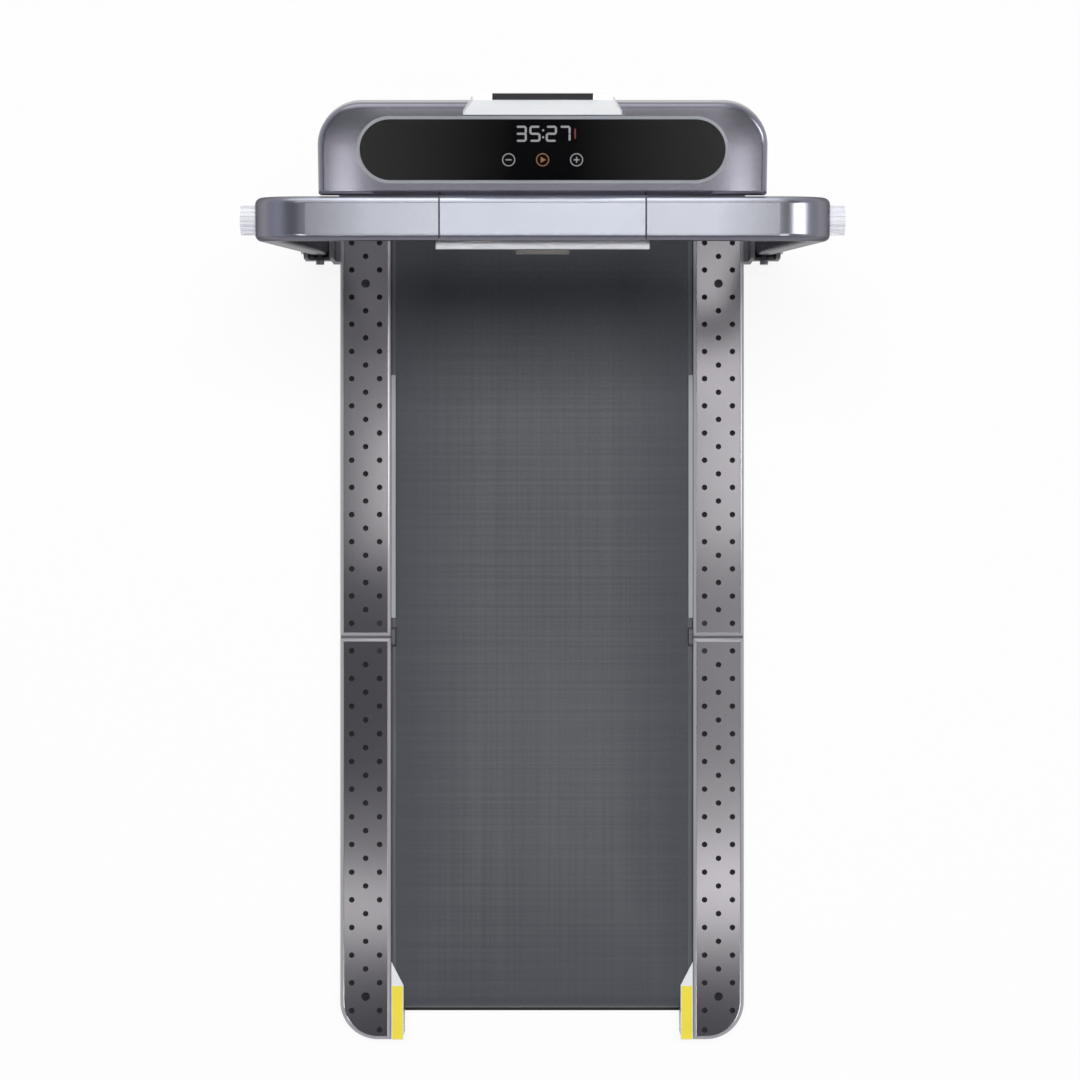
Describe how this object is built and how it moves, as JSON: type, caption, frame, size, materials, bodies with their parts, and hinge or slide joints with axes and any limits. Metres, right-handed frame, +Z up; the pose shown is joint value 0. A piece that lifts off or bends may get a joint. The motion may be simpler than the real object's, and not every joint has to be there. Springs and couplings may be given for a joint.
{
  "type": "folding walking pad",
  "caption": "Low treadmill deck that folds in half on two-pin link hinges, with perforated side rails, a walking belt and a fold-down handrail carrying a wide console.",
  "frame": {"origin": "on the floor under the centre of the overall box", "axes": "+X to the walker's right, +Y forward to the motor hood, +Z up"},
  "size_m": [0.7096, 1.348, 1.0593],
  "materials": {
    "rail_metal": "satin anodised, perforated",
    "frame_steel": "powder coat",
    "plain_steel": "zinc plated",
    "dark_screw": "black oxide",
    "walking_belt": "woven texture",
    "board_wood": "waxed fibreboard",
    "strip_grey": "matte",
    "hood_plastic": "painted",
    "black_plastic": "matte",
    "guard_grey": "matte",
    "guard_yellow": "plain",
    "tube_metal": "satin anodised",
    "console_metal": "satin",
    "lens_black": "polished",
    "rim_silver": "bright",
    "circuit": "board",
    "rest_white": "satin",
    "black_rubber": "matte",
    "motor_iron": "painted",
    "roller_steel": "turned",
    "drive_rubber": "ribbed",
    "tray_grey": "satin",
    "key_grey": "matte",
    "knob_silver": "fluted"
  },
  "bodies": {
    "front_base": {"front_left_rail": "rail_metal", "front_right_rail": "rail_metal", "front_rail_screws": "dark_screw", "front_beams": "frame_steel", "front_crossmembers": "frame_steel", "front_running_board": "board_wood", "front_belly_pan": "black_plastic", "belt_front": "walking_belt", "front_axle": "plain_steel", "front_edge_strips": "strip_grey", "front_hinge_pins": "plain_steel", "motor_hood": "hood_plastic", "power_inlet": "black_plastic", "drive_motor": "motor_iron", "drive_belt": "drive_rubber", "control_board": "circuit", "front_feet": "black_rubber", "wheel_forks": "frame_steel", "upright_brackets": "frame_steel", "pivot_pins": "plain_steel", "stop_bolts": "tray_grey", "bracket_bolts": "plain_steel"},
    "hinge_link": {"hinge_links": "frame_steel"},
    "rear_deck": {"rear_left_rail": "rail_metal", "rear_right_rail": "rail_metal", "rear_rail_screws": "dark_screw", "rear_beams": "frame_steel", "rear_crossmembers": "frame_steel", "rear_running_board": "board_wood", "rear_belly_pan": "black_plastic", "belt_rear": "walking_belt", "rear_axle": "plain_steel", "rear_hinge_pins": "plain_steel", "roller_guards": "guard_grey", "guard_plates": "guard_yellow", "tension_bolts": "plain_steel", "rear_feet": "black_rubber"},
    "front_drum": {"front_roller": "roller_steel", "front_pulley": "motor_iron"},
    "rear_drum": {"rear_roller": "roller_steel"},
    "motor_rotor": {"motor_shaft": "plain_steel", "flywheel": "motor_iron"},
    "rocker": {"switch_rocker": "black_plastic"},
    "left_caster": {"left_wheel": "black_rubber"},
    "right_caster": {"right_wheel": "black_rubber"},
    "handrail": {"left_upright": "tube_metal", "right_upright": "tube_metal", "centre_sleeve": "tube_metal", "centre_tray": "tray_grey", "console_shell": "console_metal", "console_base": "console_metal", "display_lens": "lens_black", "display_rim": "rim_silver", "display_board": "circuit", "tablet_rest": "rest_white", "tablet_pad": "black_rubber"},
    "key": {"safety_key": "key_grey"},
    "left_dial": {"left_knob": "knob_silver"},
    "right_dial": {"right_knob": "knob_silver"}
  },
  "joints": [
    {"name": "deck_fold_front", "type": "hinge", "parent": "front_base", "child": "hinge_link", "pos_m": [0, -0.08325, 0.082], "axis": [-1, 0, 0], "range_deg": [0, 90]},
    {"name": "deck_fold_rear", "type": "hinge", "parent": "hinge_link", "child": "rear_deck", "pos_m": [0, -0.09675, 0.082], "axis": [-1, 0, 0], "range_deg": [0, 90]},
    {"name": "front_roller_spin", "type": "hinge", "parent": "front_base", "child": "front_drum", "pos_m": [0, 0.54, 0.06], "axis": [1, 0, 0], "continuous": true},
    {"name": "rear_roller_spin", "type": "hinge", "parent": "rear_deck", "child": "rear_drum", "pos_m": [0, -0.607, 0.06], "axis": [1, 0, 0], "continuous": true},
    {"name": "motor_spin", "type": "hinge", "parent": "front_base", "child": "motor_rotor", "pos_m": [0, 0.612, 0.074], "axis": [1, 0, 0], "continuous": true},
    {"name": "handrail_fold", "type": "hinge", "parent": "front_base", "child": "handrail", "pos_m": [0, 0.473, 0.12], "axis": [1, 0, 0], "range_deg": [0, 85.7]},
    {"name": "safety_key_pull", "type": "slide", "parent": "handrail", "child": "key", "axis": [0, -0.9972, -0.075], "range_m": [0, 0.03]},
    {"name": "left_knob_turn", "type": "hinge", "parent": "handrail", "child": "left_dial", "pos_m": [-0.3455, 0.42685, 0.91377], "axis": [1, 0, 0], "continuous": true},
    {"name": "right_knob_turn", "type": "hinge", "parent": "handrail", "child": "right_dial", "pos_m": [0.3455, 0.42685, 0.91377], "axis": [1, 0, 0], "continuous": true},
    {"name": "left_wheel_spin", "type": "hinge", "parent": "front_base", "child": "left_caster", "pos_m": [-0.251, 0.64, 0.026], "axis": [1, 0, 0], "continuous": true},
    {"name": "right_wheel_spin", "type": "hinge", "parent": "front_base", "child": "right_caster", "pos_m": [0.251, 0.64, 0.026], "axis": [1, 0, 0], "continuous": true},
    {"name": "power_rock", "type": "hinge", "parent": "front_base", "child": "rocker", "pos_m": [0.178, 0.6645, 0.07], "axis": [1, 0, 0], "range_deg": [-7, 7]}
  ],
  "couplings": [
    {"joint": "rear_roller_spin", "follows": "front_roller_spin", "ratio": 1},
    {"joint": "motor_spin", "follows": "front_roller_spin", "ratio": 2}
  ]
}
